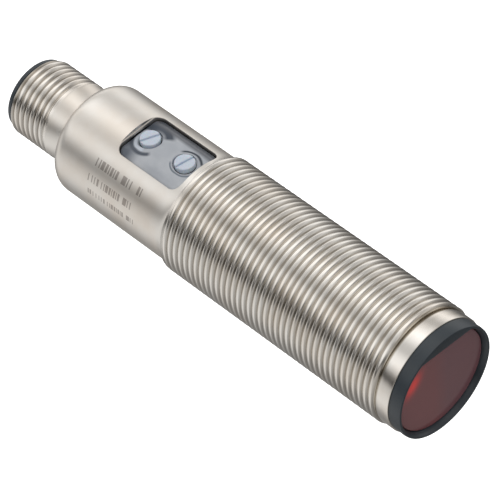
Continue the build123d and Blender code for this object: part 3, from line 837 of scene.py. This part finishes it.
# ------------------------------------------------------------------ adjusters
# Each adjuster is a slotted plastic spindle, sealed in its well by an O-ring, whose blade turns
# the rotor of a trimmer on the main board. One sets the sensitivity, the other light or dark mode.
shaft_r = 1.0
head_bottom = 7.2
head_edge = 0.14
slot_width = 0.34
slot_depth = 0.3
slot_angle = {"sensitivity": 66, "mode": 79}
pale_blue = moulded("pale_blue_plastic", (196, 208, 224), (214, 224, 236), 0.22, 0.34, 0.002,
                    Subsurface_Weight=0.15, Subsurface_Scale=0.4 * mm)


def slot_cutter(x, top, angle, reach):
    """A bar with flared upper edges, for a screwdriver slot across a head."""
    flare = 0.07
    levels = ((top - slot_depth, 0.0), (top - flare, 0.0), (top + 0.02, flare), (top + 1, flare))
    outlines = []
    for level, grow in levels:
        half = slot_width / 2 + grow
        corners = ((reach, half), (-reach, half), (-reach, -half), (reach, -half))
        c, s = cos(radians(angle)), sin(radians(angle))
        outlines.append([(x + a * c - b * s, a * s + b * c, level) for a, b in corners])
    return piece_from("slot_cutter", stacked("slot_cutter", outlines))


for use_name, x in adjuster_x.items():
    low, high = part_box(f"{use_name}_spindle")
    top = high.z / mm
    profile = [(low.z / mm, 0.0), (low.z / mm, 0.9), (low.z / mm + 0.45, shaft_r), (head_bottom, shaft_r),
               (head_bottom, head_r - 0.08), (head_bottom + 0.08, head_r)]
    profile += arc_rings(top - head_edge, head_r - head_edge, head_edge, 90, 0, 5)
    profile += [(top, share * head_r) for share in (0.7, 0.4, 0.0)]
    name = f"{use_name}_adjuster_head"
    spindle = piece_from(name, standing(turned(name, profile, around=96), x))
    carve(spindle, slot_cutter(x, top, slot_angle[use_name], 3 * head_r))
    smooth(spindle, 35)
    dress(spindle, pale_blue, f"{use_name}_adjuster", "adjuster_plastic", f"{use_name}_spindle")
paint(seal_rubber, "sensitivity_o_ring", "mode_o_ring")
paint(moulded("rotor_white", (208, 204, 194), (222, 219, 210)), "sensitivity_rotor", "mode_rotor")
paint(moulded("trimmer_blue", (38, 68, 146), (52, 84, 166), 0.3, 0.42), "sensitivity_trimmer", "mode_trimmer")

# ------------------------------------------------------------------ connector
# A black moulded cup pushed into the threaded neck up to its rim, with a coding key inside and
# four gold-plated pins in its floor. Resin seals the wires that leave the pins behind it.
cup_low, cup_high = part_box("connector_insert")
cup_start = cup_low.x / mm
cup_end = cup_high.x / mm
rim_r = cup_high.y / mm
cup_r = 4.3
cup_body_r = 4.72
cup_floor = -45.7
cup_seal_x = -44.5
rim_edge = 0.12
key_start = -53.0
key_half = 0.55
key_height = 0.62
pin_circle_r = 2.6
pin_r = 0.5
pin_root_r = 0.7
pin_tail_r = 0.3
cup = piece_from("connector_cup", turned("connector_cup", [
    *arc_rings(cup_start + rim_edge, rim_r - rim_edge, rim_edge, 180, 90, 4),
    (back_x, rim_r),
    (back_x, cup_body_r),
    (cup_seal_x - 0.35, cup_body_r),
    (cup_seal_x - 0.35, cup_bore_r - 0.4),
    (cup_seal_x + 0.35, cup_bore_r - 0.4),
    (cup_seal_x + 0.35, cup_body_r),
    (cup_end, cup_body_r),
    (cup_end, 0.0),
    (cup_floor, 0.0),
    (cup_floor, cup_r - 0.1),
    (cup_floor - 0.1, cup_r),
    (cup_start + 0.3, cup_r),
    (cup_start, cup_r + 0.25),
], around=144))


def block_between(name, low, high, slope=0.1):
    """A block between two corners, in millimetres, a little narrower at its upper end along Z."""
    rows = []
    for z, inset in ((low[2], 0.0), (high[2] - slope, 0.0), (high[2], slope)):
        rows.append([(x, y, z) for x, y in ((high[0], high[1] - inset), (low[0] + inset, high[1] - inset),
                                           (low[0] + inset, low[1] + inset), (high[0], low[1] + inset))])
    return stacked(name, rows)


key_low = (key_start, -key_half, -cup_r - 0.15)
key_high = (cup_floor + 0.2, key_half, key_height - cup_r)
key_mesh = block_between("coding_key", key_low, key_high)
key_mesh.transform(Matrix.Rotation(pi, 4, "X"))
pin_places = [(pin_circle_r * cos(radians(angle)), pin_circle_r * sin(radians(angle)))
              for angle in (45, 135, 225, 315)]
for y, z in pin_places:
    hole = turned("pin_hole", [(cup_floor - 0.3, 0.0), (cup_floor - 0.3, pin_root_r + 0.16),
                               (cup_floor + 0.16, pin_root_r), (cup_end + 1, pin_root_r),
                               (cup_end + 1, 0.0)], around=48)
    hole.transform(Matrix.Translation((0, y * mm, z * mm)))
    carve(cup, piece_from("pin_hole_cutter", hole))
smooth(cup, 35)
dress(cup, black_moulding, "root", "black_plastic", "connector_insert")
key = piece_from("connector_coding_key", key_mesh)
smooth(key, 35)
dress(key, black_moulding, "root", "black_plastic")
paint(seal_rubber, "connector_o_ring")
for number, (y, z) in enumerate(pin_places, start=1):
    name = f"connector_pin_{number}"
    low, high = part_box(f"contact_pin_{number}")
    tip = low.x / mm
    rings = [(tip, 0.0), *arc_rings(tip + 0.3, pin_r - 0.3, 0.3, 180, 90, 5), (cup_floor, pin_r),
             (cup_floor, pin_root_r), (cup_end, pin_root_r), (cup_end, pin_tail_r),
             (high.x / mm, pin_tail_r), (high.x / mm, 0.0)]
    mesh = turned(name, rings, around=40)
    mesh.transform(Matrix.Translation((0, y * mm, z * mm)))
    pin = piece_from(name, mesh)
    smooth(pin, 35)
    dress(pin, contact_gold, "root", "contact_metal", f"contact_pin_{number}")
paint(moulded("potting_resin", (22, 22, 24), (36, 36, 39), 0.15, 0.3, 0.006), "rear_potting")
sheaths = {"brown": (110, 70, 40), "white": (226, 226, 224), "blue": (40, 90, 170), "black": (25, 25, 27)}
for number, (name, tone) in enumerate(sheaths.items(), start=1):
    lighter = tuple(value + 14 for value in tone)
    paint(moulded(f"{name}_sheath", tone, lighter, 0.35, 0.45, 0.002), f"lead_{number}")

# ------------------------------------------------------------------ studio
# A pale floor well under the part, a tent of soft light with darker gaps in it, and a camera that
# looks down on the part from its lens end.
floor_reach = 3.0
floor_z = -0.06
floor_mesh = bpy.data.meshes.new("floor")
floor_mesh.from_pydata(
    [(sx * floor_reach, sy * floor_reach, floor_z) for sx, sy in ((-1, -1), (1, -1), (1, 1), (-1, 1))],
    [],
    [(0, 1, 2, 3)],
)
floor = bpy.data.objects.new("floor", floor_mesh)
bpy.context.scene.collection.objects.link(floor)
floor_paint, _, floor_shader = finish("floor_paint", Base_Color=(0.8, 0.8, 0.8, 1), Roughness=0.9)
floor_shader.inputs["Emission Color"].default_value = (1, 1, 1, 1)
floor_shader.inputs["Emission Strength"].default_value = 0.9
floor_mesh.materials.append(floor_paint)
floor.visible_glossy = False
floor.visible_diffuse = False
floor.visible_transmission = False
floor.visible_shadow = False
floor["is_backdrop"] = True

# Brightness of the tent round the bar, in degrees from +Y towards +Z.
tent = [
    (-180, 0.46), (-174, 0.64), (-156, 0.84), (-140, 0.90), (-126, 0.72), (-116, 0.42), (-100, 0.27),
    (-80, 0.27), (-66, 0.40), (-52, 0.22), (-36, 0.10), (-24, 0.16), (-12, 0.40), (4, 0.98), (14, 1.22),
    (24, 0.98), (36, 0.58), (46, 0.56), (58, 0.92), (78, 1.46), (90, 1.18), (104, 0.68), (116, 0.62),
    (130, 1.06), (143, 1.18), (155, 0.66), (163, 0.20), (173, 0.05), (180, 0.40),
]
tent_tint = (1.0, 0.986, 0.97)
end_light = 0.62
world = bpy.data.worlds.new("tent")
bpy.context.scene.world = world
world.use_nodes = True
sky = world.node_tree
direction = put(sky, "ShaderNodeTexCoord").outputs["Generated"]
split = put(sky, "ShaderNodeSeparateXYZ")
sky.links.new(direction, split.inputs[0])
turn = sum_of(sky, "ARCTAN2", split.outputs["Z"], split.outputs["Y"])
share = put(sky, "ShaderNodeMapRange", From_Min=-pi, From_Max=pi)
sky.links.new(turn, share.inputs["Value"])
ramp = put(sky, "ShaderNodeValToRGB")
sky.links.new(share.outputs[0], ramp.inputs[0])
for place, (angle, value) in enumerate(tent):
    where = (angle + 180) / 360
    stop = ramp.color_ramp.elements[place] if place < 2 else ramp.color_ramp.elements.new(where)
    stop.position = where
    stop.color = (*(value * part for part in tent_tint), 1)
# The tent is open towards the lens end, so light from there is weaker.
open_end = put(sky, "ShaderNodeMapRange", From_Min=0.0, From_Max=0.65, To_Min=1.0, To_Max=end_light)
sky.links.new(split.outputs["X"], open_end.inputs["Value"])
lit = put(sky, "ShaderNodeVectorMath", operation="SCALE")
sky.links.new(ramp.outputs[0], lit.inputs[0])
sky.links.new(open_end.outputs[0], lit.inputs["Scale"])
path = put(sky, "ShaderNodeLightPath")
seen = put(sky, "ShaderNodeMix", data_type="RGBA")
seen.inputs[7].default_value = (1, 1, 1, 1)
sky.links.new(path.outputs["Is Camera Ray"], seen.inputs["Factor"])
sky.links.new(lit.outputs[0], seen.inputs[6])
sky.links.new(seen.outputs[2], sky.nodes["Background"].inputs["Color"])
bpy.context.scene.view_settings.view_transform = "Standard"

lens = bpy.data.cameras.new("camera")
lens.lens = 227.3
lens.sensor_width = 36.0
lens.clip_start = 0.01
camera = bpy.data.objects.new("camera", lens)
bpy.context.scene.collection.objects.link(camera)
camera_aim = Vector((-10.54, -0.63, -0.06)) * mm
camera_distance = 0.42
camera_turn, camera_tilt, camera_roll = radians(-39.87), radians(48.57), radians(-6.53)
facing = Matrix.Rotation(camera_turn + pi / 2, 4, "Z") @ Matrix.Rotation(pi / 2 - camera_tilt, 4, "X")
back = facing.to_3x3() @ Vector((0, 0, 1))
camera.matrix_world = (Matrix.Translation(camera_aim + back * camera_distance) @ facing
                       @ Matrix.Rotation(camera_roll, 4, "Z"))
bpy.context.scene.camera = camera

low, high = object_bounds()
